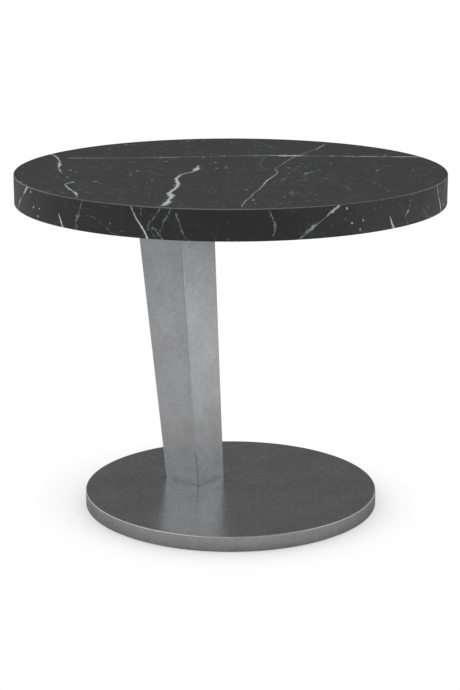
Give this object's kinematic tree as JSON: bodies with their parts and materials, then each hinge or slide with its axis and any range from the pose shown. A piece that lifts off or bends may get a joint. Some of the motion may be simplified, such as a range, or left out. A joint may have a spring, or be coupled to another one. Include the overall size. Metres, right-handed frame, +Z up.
{
  "type": "pedestal table",
  "caption": "Round low table: thick black marble top carried off centre by a leaning, flared steel box column on a weighted steel disc base with levelling glides.",
  "frame": {"origin": "on the common axis of the top and base discs, at floor level, the underside of the floor ring", "axes": "+Z up; the column stands at -X and leans further towards -X; the XZ plane is the plane of symmetry"},
  "size_m": [0.762, 0.762, 0.617],
  "materials": {
    "black_marble": "honed, white veins",
    "core_plywood": "sealed birch plywood",
    "black_steel": "black powder coat",
    "satin_steel": "satin, hand rubbed",
    "bare_steel": "bare mill plate",
    "zinc_steel": "bright zinc",
    "black_screws": "black oxide",
    "cast_iron": "black primed casting",
    "brass": "turned",
    "black_rubber": "moulded",
    "black_nylon": "moulded, fine texture"
  },
  "bodies": {
    "table": {"marble_slab": "black_marble", "marble_edge_band": "black_marble", "core_panel": "core_plywood", "top_inserts": "brass", "head_plate": "black_steel", "top_bolts": "zinc_steel", "top_washers": "zinc_steel", "column_shell": "satin_steel", "foot_plate": "bare_steel", "base_cover": "satin_steel", "base_ballast": "cast_iron", "base_bolts": "black_screws", "base_washers": "zinc_steel", "glide_bushes": "brass", "floor_ring": "black_rubber"},
    "glide_pad_1": {"glide_pad_1": "black_nylon"},
    "glide_stud_1": {"glide_stud_1": "zinc_steel"},
    "glide_pad_2": {"glide_pad_2": "black_nylon"},
    "glide_stud_2": {"glide_stud_2": "zinc_steel"},
    "glide_pad_3": {"glide_pad_3": "black_nylon"},
    "glide_stud_3": {"glide_stud_3": "zinc_steel"},
    "glide_pad_4": {"glide_pad_4": "black_nylon"},
    "glide_stud_4": {"glide_stud_4": "zinc_steel"}
  },
  "joints": [
    {"name": "glide_drop_1", "type": "slide", "parent": "table", "child": "glide_pad_1", "axis": [0, 0, -1], "range_m": [0, 0.0075]},
    {"name": "glide_turn_1", "type": "hinge", "parent": "glide_pad_1", "child": "glide_stud_1", "pos_m": [0.15203, 0.15203, 0.0095], "axis": [0, 0, -1], "range_deg": [0, 1800]},
    {"name": "glide_drop_2", "type": "slide", "parent": "table", "child": "glide_pad_2", "axis": [0, 0, -1], "range_m": [0, 0.0075]},
    {"name": "glide_turn_2", "type": "hinge", "parent": "glide_pad_2", "child": "glide_stud_2", "pos_m": [-0.15203, 0.15203, 0.0095], "axis": [0, 0, -1], "range_deg": [0, 1800]},
    {"name": "glide_drop_3", "type": "slide", "parent": "table", "child": "glide_pad_3", "axis": [0, 0, -1], "range_m": [0, 0.0075]},
    {"name": "glide_turn_3", "type": "hinge", "parent": "glide_pad_3", "child": "glide_stud_3", "pos_m": [-0.15203, -0.15203, 0.0095], "axis": [0, 0, -1], "range_deg": [0, 1800]},
    {"name": "glide_drop_4", "type": "slide", "parent": "table", "child": "glide_pad_4", "axis": [0, 0, -1], "range_m": [0, 0.0075]},
    {"name": "glide_turn_4", "type": "hinge", "parent": "glide_pad_4", "child": "glide_stud_4", "pos_m": [0.15203, -0.15203, 0.0095], "axis": [0, 0, -1], "range_deg": [0, 1800]}
  ],
  "couplings": [
    {"joint": "glide_turn_1", "follows": "glide_drop_1", "rad_per_m": 4188.8},
    {"joint": "glide_turn_2", "follows": "glide_drop_2", "rad_per_m": 4188.8},
    {"joint": "glide_turn_3", "follows": "glide_drop_3", "rad_per_m": 4188.8},
    {"joint": "glide_turn_4", "follows": "glide_drop_4", "rad_per_m": 4188.8}
  ]
}
